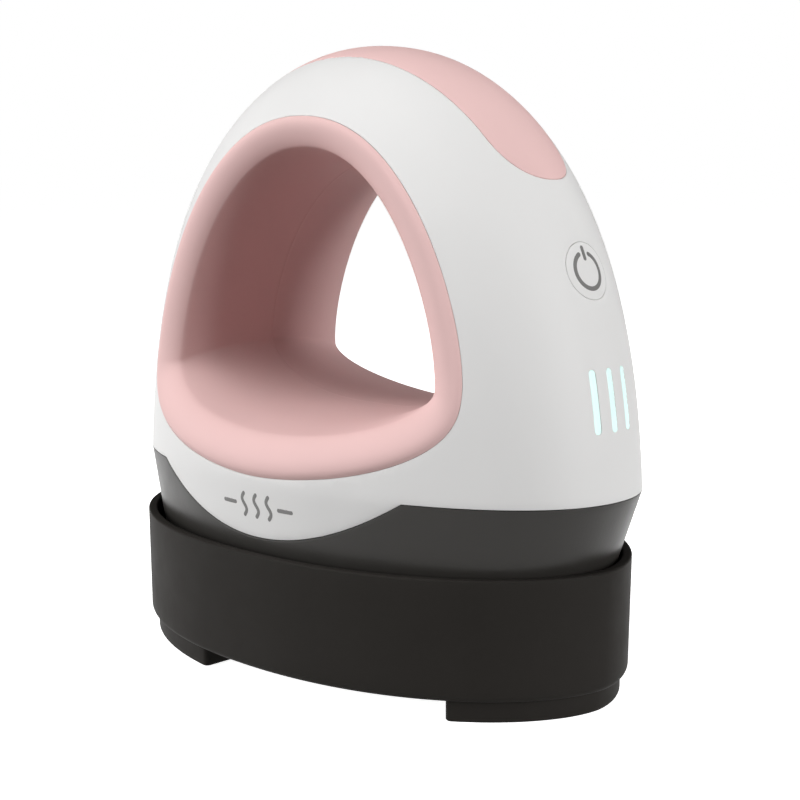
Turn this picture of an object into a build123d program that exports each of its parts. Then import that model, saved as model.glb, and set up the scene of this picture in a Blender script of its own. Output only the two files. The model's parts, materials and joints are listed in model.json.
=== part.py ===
"""Portable mini heat press for iron-on transfers, standing in its insulated safety base.

Frame: millimetres, +Z up, origin at the middle of the footprint on the surface it stands on.
+X points to the nose with the power button and the three status lights, -X to the cord inlet.
The hand goes through the arch along Y.
"""
from build123d import *
import math
import os

os.makedirs("parts", exist_ok=True)

# ---- Driving dimensions -----------------------------------------------------------------
BODY_TOP = 128.72            # top of the arch
BODY_HALF_X = 63.13          # arch body, half length where the dome formula starts
BODY_HALF_Y = 35.88
DOME_BASE = 18.97            # height that the dome formula counts from
PLAN_POWER_X = 2.03          # plan section |x/a|^px + |y/b|^py = 1
PLAN_POWER_Y = 2.12
SPLIT_Z = 40.92              # white shell above, dark lower housing below
APRON_HALF_X = 35.07         # the white shell dips below the split on both long sides
APRON_DROP = 11.08
WALL = 2.6                   # moulded wall of shell and lower housing
SEAM = 0.12                  # gap at the parting lines
HOUSING_BOTTOM_Z = 13.2
# height, half length, half width and middle of the lower housing's level sections
HOUSING_SECTIONS = (
    (SPLIT_Z, 62.7, 35.8, 0.0),
    (27.0, 58.3, 34.6, -0.8),
    (20.0, 56.6, 33.4, -1.0),
    (HOUSING_BOTTOM_Z, 55.0, 32.2, -1.2),
)
LEDGE_X = (47.0, 64.0)       # ledges inside both ends that the housing screws join
LEDGE_HALF_Y = 9.0
SCREW_AT = [(side * 50.0, y) for side in (-1, 1) for y in (-5.5, 5.5)]
SCREW_R = 1.4

TRAY_MIDDLE_X = -1.27        # the press stands a little towards the nose end of its safety base
TRAY_HALF_X = 62.33
TRAY_HALF_Y = 38.98
TRAY_POWER_X = 2.14
TRAY_POWER_Y = 1.776
TRAY_RIM_Z = 27.53
TRAY_BOTTOM_Z = 4.2
TRAY_DRAFT = 0.5
TRAY_WALL = 2.0
TRAY_FLOOR = 1.8
TRAY_RIM_SOFT = 0.45         # bevel of the rim's outer edge
LINING_THICK = 0.6           # heat-proof board on the tray floor
FOOT_INSET = 2.1
REAR_FOOT_X = -15.0          # the long rear foot lies behind this plane
FRONT_FOOT_X = 41.2          # the short front foot lies ahead of this one
FOOT_SCREW_AT = [(-48.0, -10.0), (-48.0, 10.0), (-26.0, -26.0), (-26.0, 26.0), (49.0, -8.0), (49.0, 8.0)]

# roundness of an egg outline: across and upright above its widest level, then the same below it
WAIST_POWERS = (1.9, 1.7, 3.0, 1.3)
NECK_POWERS = (2.0, 1.66, 2.4, 1.45)
EDGE_POWERS = (2.09, 1.63, 1.94, 1.63)
RIM_POWERS = (2.18, 1.57, 1.73, 2.82)
LINER_RIM = (44.77, 62.55, 113.63, 42.34)      # half width, height of it, top and bottom
LINER_WALL = 2.4
LINER_FLANGE = 2.9
# hand tunnel: distance from the middle, then half width, height of it, top, bottom and roundness
TUNNEL_MIDDLE = (
    (0.0, 34.0, 62.0, 105.0, 53.2, WAIST_POWERS),
    (12.0, 35.2, 61.0, 106.0, 52.2, NECK_POWERS),
    (19.0, 37.5, 60.0, 107.5, 51.0, EDGE_POWERS),
)
TUNNEL_MOUTH = (
    (19.0, 37.5, 60.0, 107.5, 51.0, EDGE_POWERS),
    (24.0, 43.6, 61.5, 112.8, 50.7, EDGE_POWERS),
    (31.0, 47.5, 62.0, 118.0, 50.3, EDGE_POWERS),
    (37.5, 53.0, 62.5, 123.0, 42.6, EDGE_POWERS),
)

COVER_HALF_X = 46.6          # coloured insert on top
COVER_HALF_Y = 11.7
COVER_END_R = 10.1
COVER_DEPTH = 1.4
PEG_X = 24.0                 # two pegs hold the insert in the shell
PEG_END_Z = 117.6

BUTTON_AT = (54.9, 0.0, 83.9)
BUTTON_NORMAL = (0.9411, 0.0, 0.3381)
BUTTON_R = 5.7
BUTTON_GAP = 0.2
MARK_R = 3.55                # power symbol: ring radius, stroke, depth and the reach of its upright
MARK_STROKE = 0.9
MARK_DEPTH = 0.25
MARK_TICK = (1.95, 5.0)
CAP_DEPTH = 4.6              # cap reaches this far under the surface
COLLAR_R = 7.3
COLLAR_THICK = 0.8
PLUNGER_R = 1.6
PLUNGER_DEPTHS = (-6.0, -7.8)
SWITCH_TOP = -6.9            # top of the switch body, under the collar
SWITCH_HEIGHT = 3.6

LIGHT_Y = (-4.68, 0.0, 4.68)
LIGHT_WIDTH = 1.5
LIGHT_Z = (54.0, 65.9)

PLATE_Z = 7.8                # underside of the heated plate when the press is parked
PLATE_HALF = (52.2, 31.2)
PLATE_THICK = 4.4
POST_AT = (36.0, 12.0)       # four posts that carry the hot stack
BOARD_POST_AT = (31.0, 15.0)
BOARD_Z = 31.0
BOARD_THICK = 1.6

INLET_Z = 84.0               # cord gland at the rear
INLET_R = 3.0
INLET_TIP_X = -58.0

RING_POINTS = 24
FAR = 80.0                   # half size of cutting blocks


# ---- Helpers ------------------------------------------------------------------------------
def signed_power(value, power):
    return math.copysign(abs(value) ** power, value)


def closed_curve(point_at):
    """Smooth closed wire through points of a formula of the turning angle."""
    turns = [2 * math.pi * step / RING_POINTS for step in range(RING_POINTS)]
    return Wire([Edge.make_spline([Vector(*point_at(turn)) for turn in turns], periodic=True)])


def plan_ring(half_x, half_y, z, power_x=PLAN_POWER_X, power_y=PLAN_POWER_Y):
    """Level section |x/half_x|^power_x + |y/half_y|^power_y = 1."""
    return closed_curve(lambda turn: (
        half_x * signed_power(math.cos(turn), 2 / power_x),
        half_y * signed_power(math.sin(turn), 2 / power_y),
        z,
    ))


def egg_ring(y, half_x, z_wide, z_top, z_bottom, powers):
    """Upright section of the hand tunnel: a tall arch over a shallow curved floor."""
    def point_at(turn):
        rise = math.sin(turn)
        power_x, power_z = powers[:2] if rise >= 0 else powers[2:]
        height = z_top - z_wide if rise >= 0 else z_wide - z_bottom
        x = half_x * signed_power(math.cos(turn), 2 / power_x)
        return (x, y, z_wide + height * signed_power(rise, 2 / power_z))
    return closed_curve(point_at)


def prism(wire, direction, length):
    """Solid from a flat closed wire, pushed along a direction."""
    return Solid.extrude(Face(wire), Vector(*direction) * length)


def block(x_low, x_high, y_low, y_high, z_low, z_high):
    size = (x_high - x_low, y_high - y_low, z_high - z_low)
    middle = ((x_low + x_high) / 2, (y_low + y_high) / 2, (z_low + z_high) / 2)
    return Pos(*middle) * Box(*size)


def upright(radius, x, y, z_low, z_high):
    """Vertical cylinder between two heights."""
    return Pos(x, y, (z_low + z_high) / 2) * Cylinder(radius, z_high - z_low)


def corners(half_x, half_y):
    return [(sx * half_x, sy * half_y) for sx in (-1, 1) for sy in (-1, 1)]


def slab(half_x, half_y, z_low, z_high, power=2.6):
    """Flat piece with a rounded-rectangle plan."""
    ring = plan_ring(half_x, half_y, z_low, power, power)
    return prism(ring, (0, 0, 1), z_high - z_low)


def total(pieces):
    """Several separate solids as one group, or touching ones as one piece."""
    result = pieces[0]
    for piece in pieces[1:]:
        result = result + piece
    return result


def save(name, shape):
    solids = shape.solids()
    export_step(solids[0] if len(solids) == 1 else Compound(children=list(solids)), f"parts/{name}.step")
    print(name, len(solids), [round(value, 1) for value in shape.bounding_box().size])


# ---- Outer form ----------------------------------------------------------------------------
def dome_half_sizes(z, inset):
    share = min((z - DOME_BASE) / (BODY_TOP - inset - DOME_BASE), 0.9995)
    half_x = (BODY_HALF_X - inset) * (1 - share ** 2.69) ** (1 / 2.01)
    half_y = (BODY_HALF_Y - inset) * (1 - share ** 3.23) ** (1 / 2.26)
    return half_x, half_y


def dome(inset, z_low=SPLIT_Z):
    """Everything inside the arch body's upper surface, moved in by an inset."""
    levels = 9
    span = BODY_TOP - inset - z_low
    heights = [z_low + span * math.sin(math.pi / 2 * step / levels) for step in range(levels + 1)]
    return Solid.make_loft([plan_ring(*dome_half_sizes(z, inset), z) for z in heights])


def housing_form(inset):
    """Everything inside the lower housing's surface, moved in by an inset."""
    rings = [Pos(middle, 0, 0) * plan_ring(x - inset, y - inset, z) for z, x, y, middle in HOUSING_SECTIONS]
    return Solid.make_loft(rings, ruled=True)


def above_split(drop=0.0):
    """Block over the parting line, which bows down into an apron on the long sides."""
    z = SPLIT_Z - drop
    outline = Wire([
        Edge.make_line((-FAR, -FAR, z), (-APRON_HALF_X, -FAR, z)),
        Edge.make_three_point_arc(
            (-APRON_HALF_X, -FAR, z), (0, -FAR, z - APRON_DROP), (APRON_HALF_X, -FAR, z)),
        Edge.make_line((APRON_HALF_X, -FAR, z), (FAR, -FAR, z)),
        Edge.make_line((FAR, -FAR, z), (FAR, -FAR, 2 * FAR)),
        Edge.make_line((FAR, -FAR, 2 * FAR), (-FAR, -FAR, 2 * FAR)),
        Edge.make_line((-FAR, -FAR, 2 * FAR), (-FAR, -FAR, z)),
    ])
    return prism(outline, (0, 1, 0), 2 * FAR)


# ---- Hand tunnel and liner -------------------------------------------------------------------
def tunnel(grow=0.0):
    """Hand tunnel with flared mouths; grow gives the outside of its lining."""
    def ring(row, side):
        y, half_x, z_wide, z_top, z_bottom, powers = row
        return egg_ring(side * y, half_x + grow, z_wide, z_top + grow, z_bottom - grow, powers)
    near_rings = [ring(row, -1) for row in reversed(TUNNEL_MIDDLE)]
    far_rings = [ring(row, 1) for row in TUNNEL_MIDDLE[1:]]
    middle = Solid.make_loft(near_rings + far_rings)
    mouths = [Solid.make_loft([ring(row, side) for row in TUNNEL_MOUTH]) for side in (-1, 1)]
    return middle + mouths[0] + mouths[1]


def rim_prism(grow=0.0):
    """Everything within the liner's outer rim, seen along Y."""
    half_x, z_wide, z_top, z_bottom = LINER_RIM
    ring = egg_ring(-FAR, half_x + grow, z_wide, z_top + grow, z_bottom - grow, RIM_POWERS)
    return prism(ring, (0, 1, 0), 2 * FAR)


def build_liner(body, hand_tunnel):
    """Two mirrored halves that meet at a seam in the middle of the tunnel."""
    flange = (body & rim_prism()) - dome(LINER_FLANGE, SPLIT_Z - 1)
    tube = tunnel(LINER_WALL) & dome(LINER_FLANGE - 0.3)
    lining = (flange + tube) - hand_tunnel
    half = block(-FAR, FAR, -FAR, -SEAM / 2, 0, 2 * FAR)
    left = lining & half
    return left, left.mirror(Plane.XZ)


# ---- Button, in its own plane on the nose ----------------------------------------------------
BUTTON_PLANE = Plane(origin=BUTTON_AT, x_dir=(0, 1, 0), z_dir=BUTTON_NORMAL)


def in_button_plane(radius, low, high):
    """Cylinder along the button's travel, between two depths."""
    return BUTTON_PLANE * (Pos(0, 0, (low + high) / 2) * Cylinder(radius, high - low))


def button_block(half_x, half_y, low, high):
    return BUTTON_PLANE * (Pos(0, 0, (low + high) / 2) * Box(2 * half_x, 2 * half_y, high - low))


def build_button(body):
    """Cap with its collar, the inlaid power symbol and the plunger behind them."""
    cap = in_button_plane(BUTTON_R, -CAP_DEPTH, 4.0) & body
    cap = cap + in_button_plane(COLLAR_R, -CAP_DEPTH - COLLAR_THICK, -CAP_DEPTH)
    cap = cap + in_button_plane(2.4, PLUNGER_DEPTHS[0], -CAP_DEPTH - COLLAR_THICK)
    ring = in_button_plane(MARK_R + MARK_STROKE / 2, -2.0, 4.0)
    ring = ring - in_button_plane(MARK_R - MARK_STROKE / 2, -2.0, 4.0)
    gap = BUTTON_PLANE * (Pos(0, MARK_R, 1) * Box(2.6, 3.0, 6.0))
    tick_low, tick_high = MARK_TICK
    tick = Pos(0, (tick_low + tick_high) / 2, 1) * Box(MARK_STROKE, tick_high - tick_low, 6.0)
    tick = BUTTON_PLANE * tick
    symbol = ((ring - gap) + tick) & (body - dome(MARK_DEPTH, SPLIT_Z - 1))
    plunger = in_button_plane(PLUNGER_R, PLUNGER_DEPTHS[1], PLUNGER_DEPTHS[0])
    return cap - symbol, symbol, plunger


def build_tact_switch():
    """Push switch on its little board, square to the button's travel."""
    low = SWITCH_TOP - SWITCH_HEIGHT
    bore = in_button_plane(PLUNGER_R + 0.3, PLUNGER_DEPTHS[1] - 1.2, SWITCH_TOP + 1)
    switch = button_block(3.0, 3.0, low, SWITCH_TOP) - bore
    board = button_block(9.5, 5.5, low - 1.2, low)
    return switch, board


# ---- Status lights ---------------------------------------------------------------------------
def light_slots(grow, x_low, x_high):
    """Three upright slots with round ends, pushed along X."""
    half = LIGHT_WIDTH / 2 + grow
    z_low, z_high = LIGHT_Z[0] - grow, LIGHT_Z[1] + grow
    slots = []
    for y in LIGHT_Y:
        slot = block(x_low, x_high, y - half, y + half, z_low + half, z_high - half)
        for z in (z_low + half, z_high - half):
            end = Pos((x_low + x_high) / 2, y, z) * Rot(0, 90, 0) * Cylinder(half, x_high - x_low)
            slot = slot + end
        slots.append(slot)
    return total(slots)


def build_light_guide(body):
    """One clear moulding: a back plate and three prongs that end flush in the nose."""
    plate = block(50.0, 51.2, -7.5, 7.5, LIGHT_Z[0] - 1.5, LIGHT_Z[1] + 1.5)
    return plate + (light_slots(0, 51.0, 66.0) & body)


def build_light_shield():
    """Black block that keeps the three lights apart."""
    outside = block(51.35, 55.0, -7.5, 7.5, LIGHT_Z[0] - 1.5, LIGHT_Z[1] + 1.5)
    return outside - light_slots(0.15, 50.0, 56.0)


# ---- White shell and the coloured insert -------------------------------------------------------
def cover_outline(grow, z):
    """Long oval seen from above, with slightly bowed sides."""
    x = COVER_HALF_X - COVER_END_R
    side = COVER_END_R + grow
    middle = COVER_HALF_Y + grow
    tip = COVER_HALF_X + grow
    return Wire([
        Edge.make_three_point_arc((-x, -side, z), (0, -middle, z), (x, -side, z)),
        Edge.make_three_point_arc((x, -side, z), (tip, 0, z), (x, side, z)),
        Edge.make_three_point_arc((x, side, z), (0, middle, z), (-x, side, z)),
        Edge.make_three_point_arc((-x, side, z), (-tip, 0, z), (-x, -side, z)),
    ])


def cover_pegs(radius, z_low):
    return total([upright(radius, x, 0, z_low, BODY_TOP) for x in (-PEG_X, PEG_X)])


def build_top_cover(body):
    """Insert that fills the recess on top, with two pegs through the shell."""
    skin = (body & prism(cover_outline(0, 80), (0, 0, 1), FAR)) - dome(COVER_DEPTH)
    pegs = cover_pegs(1.2, PEG_END_Z) & dome(COVER_DEPTH - 0.2)
    return skin + pegs


def end_ledges(z_low, z_high):
    """Blocks inside the nose and the rear, which are then cut to the wall around them."""
    ledges = []
    for side in (-1, 1):
        x_low, x_high = sorted(side * x for x in LEDGE_X)
        ledges.append(block(x_low, x_high, -LEDGE_HALF_Y, LEDGE_HALF_Y, z_low, z_high))
    return total(ledges)


def build_outer_shell(body):
    """White moulding: arch body with its apron, tunnel openings, recess, button and light holes."""
    shell = body - dome(WALL, SPLIT_Z - 1)
    shell = shell + ((housing_form(0) - housing_form(WALL)) & above_split())
    shell = shell - rim_prism(SEAM)
    shell = shell + (end_ledges(SPLIT_Z + 0.2, SPLIT_Z + 5.5) & dome(WALL - 0.4))
    recess = prism(cover_outline(0.15, 80), (0, 0, 1), FAR) - dome(COVER_DEPTH + 0.05)
    shell = shell - recess - cover_pegs(1.35, 100.0)
    shell = shell - in_button_plane(BUTTON_R + BUTTON_GAP, -CAP_DEPTH - 2, 6.0)
    shell = shell - in_button_plane(COLLAR_R + 0.5, -CAP_DEPTH - 4, -CAP_DEPTH + 0.5)
    shell = shell - light_slots(0.08, 56.0, 66.0)
    inlet = Pos(-55, 0, INLET_Z) * Rot(0, 90, 0) * Cylinder(4.3, 12)
    shell = shell - inlet
    for x, y in SCREW_AT:
        shell = shell - upright(SCREW_R, x, y, SPLIT_Z - 1, SPLIT_Z + 4.5)
    return shell


# ---- Lower housing and the hot stack -----------------------------------------------------------
def build_lower_housing():
    """Dark moulding under the shell, open below, with ledges for the shell screws."""
    form = housing_form(0)
    wall = form - housing_form(WALL)
    floor = slab(60, 40, HOUSING_BOTTOM_Z, HOUSING_BOTTOM_Z + 2, 2.0) - slab(49.6, 28.6, 13, 16, 2.1)
    floor = floor & form
    housing = wall + (end_ledges(37.2, SPLIT_Z) & housing_form(WALL - 0.4)) + floor
    housing = housing - above_split(SEAM)
    for x, y in SCREW_AT:
        housing = housing - upright(SCREW_R + 0.3, x, y, 36, SPLIT_Z + 1)
    return housing


def plate_posts(radius, z_low, z_high):
    return total([upright(radius, x, y, z_low, z_high) for x, y in corners(*POST_AT)])


def build_heating_plate():
    """Aluminium plate with a raised back that carries the element and four tapped holes."""
    top = PLATE_Z + PLATE_THICK
    face = prism(plan_ring(*PLATE_HALF, PLATE_Z + 0.8), (0, 0, 1), PLATE_THICK - 0.8)
    edge = Solid.make_loft([
        plan_ring(PLATE_HALF[0] - 0.8, PLATE_HALF[1] - 0.8, PLATE_Z),
        plan_ring(*PLATE_HALF, PLATE_Z + 0.8),
    ])
    back = prism(plan_ring(47.5, 26.5, top), (0, 0, 1), 4.0)
    return (face + edge + back) - plate_posts(1.5, top - 1.0, top + 5)


def build_hot_stack():
    """Layers over the plate, from the element up to the heat shield, each with clear post holes."""
    z = PLATE_Z + PLATE_THICK + 4.0
    layers = {}
    for name, thick, half_x, half_y in (
        ("heating_element", 1.2, 41.0, 20.5),
        ("pressure_plate", 1.5, 42.0, 21.5),
        ("thermal_insulation", 4.0, 43.0, 22.0),
        ("heat_shield", 0.8, 44.5, 23.0),
    ):
        layers[name] = slab(half_x, half_y, z, z + thick) - plate_posts(2.6, z - 1, z + thick + 1)
        z += thick
    return layers, z


def build_plate_posts(z_top):
    """Ceramic posts through the stack, and the screws that hold it down."""
    bottom = PLATE_Z + PLATE_THICK + 4.0
    posts = plate_posts(2.5, bottom, z_top) - plate_posts(1.55, bottom - 1, z_top + 1)
    screws = []
    for x, y in corners(*POST_AT):
        shank = upright(1.45, x, y, bottom - 4.0, z_top)
        head = upright(2.9, x, y, z_top, z_top + 1.8) - upright(1.0, x, y, z_top + 0.8, z_top + 3)
        screws.append(shank + head)
    return posts, total(screws)


# ---- Electronics ---------------------------------------------------------------------------------
def build_power_board(z_shield):
    """Mains board on four standoffs over the heat shield, with its screws."""
    board = slab(38.0, 21.0, BOARD_Z, BOARD_Z + BOARD_THICK, 6)
    standoffs = []
    screws = []
    for x, y in corners(*BOARD_POST_AT):
        board = board - upright(1.5, x, y, BOARD_Z - 1, BOARD_Z + 3)
        bore = upright(1.5, x, y, BOARD_Z - 4, BOARD_Z + 1)
        standoffs.append(upright(2.8, x, y, z_shield, BOARD_Z) - bore)
        shank = upright(1.4, x, y, BOARD_Z - 3.5, BOARD_Z + BOARD_THICK)
        head = upright(2.6, x, y, BOARD_Z + BOARD_THICK, BOARD_Z + BOARD_THICK + 1.6)
        screws.append(shank + head)
    return board, total(standoffs), total(screws)


def build_board_parts():
    """What stands on the mains board."""
    z = BOARD_Z + BOARD_THICK
    relay = block(6, 25, -9, 6, z, z + 10.5)
    transformer = block(-16, 2, -8, 8, z, z + 3) + block(-14, 0, -5, 5, z + 3, z + 11)
    capacitor = upright(4.0, -24, -12, z, z + 10.5)
    film_capacitor = block(-30, -19, 2, 8, z, z + 9)
    triac = block(10, 20, 12, 14.5, z, z + 12)
    terminal_block = block(-37, -31.5, -9.5, 9.5, z, z + 9)
    for y in (-6.0, 0.0, 6.0):
        terminal_block = terminal_block - upright(1.6, -34.2, y, z + 5, z + 10)
        terminal_block = terminal_block - Pos(-37, y, z + 3) * Rot(0, 90, 0) * Cylinder(1.4, 6)
    return {
        "relay": relay,
        "transformer": transformer,
        "smoothing_capacitor": capacitor,
        "film_capacitor": film_capacitor,
        "triac": triac,
        "terminal_block": terminal_block,
    }


def build_control_board():
    """Upright board in the nose that carries the three light-emitting diodes."""
    board = block(46.6, 48.0, -9.5, 9.5, 51.0, 70.0)
    leds = total([block(48.0, 49.8, y - 1.4, y + 1.4, 58.5, 62.0) for y in LIGHT_Y])
    return board, leds


def lead(points, radius, bend):
    """Insulated lead along straight runs joined by tangent arcs."""
    path = FilletPolyline(*points, radius=bend)
    start = Plane(origin=path @ 0, z_dir=path % 0)
    return sweep(start * Circle(radius), path=path)


def build_leads():
    """Leads that run inside the housing."""
    heater = []
    for side in (-1, 1):
        route = [(side * x, 13.0, z) for x, z in ((40.0, 24.8), (45.0, 24.8), (45.0, 34.0), (36.0, 34.0))]
        heater.append(lead(route, 0.9, 2.4))
    ribbon = lead([(45.1, 0, 52.6), (45.1, 0, 44.0), (36.0, 0, 44.0), (30.0, 0, 38.0)], 1.4, 3.0)
    return total(heater), ribbon


def build_sensors():
    """Temperature probe and thermal fuse, clipped to the back of the hot plate."""
    z = PLATE_Z + PLATE_THICK + 4.0
    probe = Pos(0, 23.6, z + 1.3) * Rot(0, 90, 0) * Cylinder(1.2, 9)
    fuse = Pos(0, -23.9, z + 1.9) * Rot(0, 90, 0) * Cylinder(1.8, 14)
    return probe, fuse


# ---- Cord inlet ------------------------------------------------------------------------------------
def along_x(radius, x_low, x_high, z=INLET_Z):
    return Pos((x_low + x_high) / 2, 0, z) * Rot(0, 90, 0) * Cylinder(radius, x_high - x_low)


def build_cord_gland(body):
    """Flexible sleeve through the rear of the shell, with a collar inside and one outside."""
    inner_form = dome(WALL, SPLIT_Z - 1)
    sleeve = along_x(4.1, -57.0, -46.0)
    outside = along_x(5.0, INLET_TIP_X, -48.0) - body
    inside = along_x(6.0, -50.0, -46.0) & inner_form
    gland = (sleeve + outside + inside) - along_x(INLET_R, -60, -44)
    return gland.solids().sort_by(SortBy.VOLUME)[-1]


def build_cord_clamp():
    """Saddle that would grip the cord under the gland, with its two screws."""
    saddle = block(-46.5, -41.0, -9.0, 9.0, 67.5, 73.0) - block(-50, -40, -3.0, 3.0, 66, 70.5)
    screws = []
    for y in (-6.3, 6.3):
        saddle = saddle - upright(1.5, -43.8, y, 66, 74)
        screws.append(upright(1.4, -43.8, y, 66.5, 73.0) + upright(2.5, -43.8, y, 73.0, 74.6))
    return saddle, total(screws)


# ---- Safety base -----------------------------------------------------------------------------------
def tray_ring(inset, z):
    ring = plan_ring(TRAY_HALF_X - inset, TRAY_HALF_Y - inset, z, TRAY_POWER_X, TRAY_POWER_Y)
    return Pos(TRAY_MIDDLE_X, 0, 0) * ring


def build_base_tray():
    """Open tray with a bevelled rim and screw holes for the feet."""
    bevel_z = TRAY_RIM_Z - TRAY_RIM_SOFT
    outside = Solid.make_loft([tray_ring(TRAY_DRAFT, TRAY_BOTTOM_Z), tray_ring(0, bevel_z)])
    rim = Solid.make_loft([tray_ring(0, bevel_z), tray_ring(TRAY_RIM_SOFT * 0.6, TRAY_RIM_Z)])
    floor_z = TRAY_BOTTOM_Z + TRAY_FLOOR
    inside = Solid.make_loft([
        tray_ring(TRAY_DRAFT + TRAY_WALL, floor_z),
        tray_ring(TRAY_WALL, TRAY_RIM_Z + 1),
    ])
    tray = (outside + rim) - inside
    for x, y in FOOT_SCREW_AT:
        tray = tray - upright(1.6, x, y, TRAY_BOTTOM_Z - 1, floor_z + 1)
    return tray


def build_feet():
    """Two feet that follow the tray's outline, set in a little, cut square across."""
    outline = prism(tray_ring(FOOT_INSET, 0), (0, 0, 1), TRAY_BOTTOM_Z)
    rear = outline & block(-FAR, REAR_FOOT_X, -FAR, FAR, -1, TRAY_BOTTOM_Z + 1)
    front = outline & block(FRONT_FOOT_X, FAR, -FAR, FAR, -1, TRAY_BOTTOM_Z + 1)
    screws = []
    for x, y in FOOT_SCREW_AT:
        pocket = upright(3.2, x, y, -1, 1.6) + upright(1.6, x, y, 0, TRAY_BOTTOM_Z + 1)
        rear = rear - pocket
        front = front - pocket
        screws.append(upright(2.9, x, y, 0.4, 1.6) + upright(1.5, x, y, 1.6, TRAY_BOTTOM_Z + TRAY_FLOOR))
    return rear, front, total(screws)


def build_tray_lining():
    """Heat-proof board on the tray floor, and the pads that the hot plate stands on."""
    floor_z = TRAY_BOTTOM_Z + TRAY_FLOOR
    board = prism(tray_ring(TRAY_DRAFT + TRAY_WALL + 0.8, floor_z), (0, 0, 1), LINING_THICK)
    pads = [upright(4.5, x, y, floor_z + LINING_THICK, PLATE_Z - 0.02) for x, y in corners(30.0, 14.0)]
    return board, total(pads)


# ---- Assembly ----------------------------------------------------------------------------------------
def main():
    body = dome(0)
    hand_tunnel = tunnel()
    left, right = build_liner(body, hand_tunnel)
    save("liner_left", left)
    save("liner_right", right)
    save("outer_shell", build_outer_shell(body))
    save("top_cover", build_top_cover(body))
    save("lower_housing", build_lower_housing())

    cap, symbol, plunger = build_button(body)
    save("power_button", cap)
    save("button_mark", symbol)
    save("button_plunger", plunger)
    switch, switch_board = build_tact_switch()
    save("tact_switch", switch)
    save("switch_board", switch_board)
    save("light_guide", build_light_guide(body))
    save("light_shield", build_light_shield())
    control_board, leds = build_control_board()
    save("control_board", control_board)
    save("status_leds", leds)

    save("heating_plate", build_heating_plate())
    layers, z_shield = build_hot_stack()
    for name, layer in layers.items():
        save(name, layer)
    posts, plate_screws = build_plate_posts(z_shield)
    save("plate_posts", posts)
    save("plate_screws", plate_screws)
    gasket_top = HOUSING_BOTTOM_Z - 0.05
    gasket_bottom = PLATE_Z + PLATE_THICK
    ring = prism(plan_ring(51.8, 30.8, gasket_bottom), (0, 0, 1), gasket_top - gasket_bottom)
    save("plate_gasket", ring - prism(plan_ring(48.4, 27.4, 10), (0, 0, 1), 6))
    probe, fuse = build_sensors()
    save("temperature_probe", probe)
    save("thermal_fuse", fuse)

    board, standoffs, board_screws = build_power_board(z_shield)
    save("power_board", board)
    save("board_standoffs", standoffs)
    save("board_screws", board_screws)
    for name, piece in build_board_parts().items():
        save(name, piece)
    heater_leads, ribbon = build_leads()
    save("heater_leads", heater_leads)
    save("control_cable", ribbon)

    save("cord_gland", build_cord_gland(body))
    saddle, clamp_screws = build_cord_clamp()
    save("cord_clamp", saddle)
    save("cord_clamp_screws", clamp_screws)
    screws = []
    for x, y in SCREW_AT:
        screws.append(upright(2.7, x, y, 35.6, 37.2) + upright(SCREW_R - 0.05, x, y, 37.2, SPLIT_Z + 4.2))
    save("housing_screws", total(screws))

    save("base_tray", build_base_tray())
    rear, front, foot_screws = build_feet()
    save("rear_foot", rear)
    save("front_foot", front)
    save("foot_screws", foot_screws)
    lining, pads = build_tray_lining()
    save("insulation_board", lining)
    save("rest_pads", pads)


main()
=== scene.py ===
"""Looks of the portable mini heat press in its safety base; millimetres until a mesh is made."""
import json
import math

import bpy
import numpy as np
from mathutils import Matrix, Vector
from mathutils.geometry import delaunay_2d_cdt


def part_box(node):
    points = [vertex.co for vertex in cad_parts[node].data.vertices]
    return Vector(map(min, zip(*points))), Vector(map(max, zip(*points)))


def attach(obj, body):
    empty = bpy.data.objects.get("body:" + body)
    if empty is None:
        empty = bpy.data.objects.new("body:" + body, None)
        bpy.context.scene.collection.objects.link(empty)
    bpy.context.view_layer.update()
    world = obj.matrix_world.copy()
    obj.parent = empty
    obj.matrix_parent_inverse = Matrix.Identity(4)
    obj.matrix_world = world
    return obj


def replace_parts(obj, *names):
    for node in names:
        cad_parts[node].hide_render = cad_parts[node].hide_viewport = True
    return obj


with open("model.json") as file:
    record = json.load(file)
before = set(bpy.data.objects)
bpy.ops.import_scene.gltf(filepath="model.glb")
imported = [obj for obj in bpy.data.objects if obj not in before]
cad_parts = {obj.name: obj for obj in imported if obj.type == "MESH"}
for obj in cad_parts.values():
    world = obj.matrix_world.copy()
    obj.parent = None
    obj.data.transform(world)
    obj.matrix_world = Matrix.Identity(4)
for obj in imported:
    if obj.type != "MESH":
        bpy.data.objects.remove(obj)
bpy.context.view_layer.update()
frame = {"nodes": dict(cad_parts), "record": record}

MM = 0.001


def cad_box(node):
    """Lowest and highest corner of a CAD node, in millimetres."""
    low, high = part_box(node)
    return np.array(low) / MM, np.array(high) / MM


# ---- Dimensions, taken from the frame where it has them ------------------------------------------
TOP = cad_box("top_cover")[1][2]
HALF_X, HALF_Y = 63.13, 35.88                # half length and half width at the dome's base
DOME_BASE = 18.97                            # height of that base
RISE = (2.69, 2.01, 3.23, 2.26)              # powers of the dome's profiles, two along and two across
POWER_X, POWER_Y = 2.03, 2.12                # powers of its level sections
SPLIT = 40.92                                # white shell above, dark housing below
APRON_HALF, APRON_DROP = 35.07, 11.08        # half length and depth of the shell's apron on each side
WALL = 2.6
SEAM = 0.04                                  # half of the width of a parting line
SOFT_EDGE = 0.12                             # rounding along the parting lines

HOUSING_LOW = cad_box("lower_housing")[0][2]
# height, half length, half width and middle of the lower housing's level sections
HOUSING = np.array([(13.2, 55.0, 32.2, -1.2), (20.0, 56.6, 33.4, -1.0), (27.0, 58.3, 34.6, -0.8),
                    (SPLIT, 62.71, 35.79, 0.0)])
HOUSING_KNEE = 27.0                          # its rings are level up to here and follow the apron above
HOUSING_RINGS = (25.2, 23.4, 21.7, 20.0, 18.3, 16.6, 15.0)
HOUSING_INNER_RINGS = (16.0, 20.0, HOUSING_KNEE)
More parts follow.
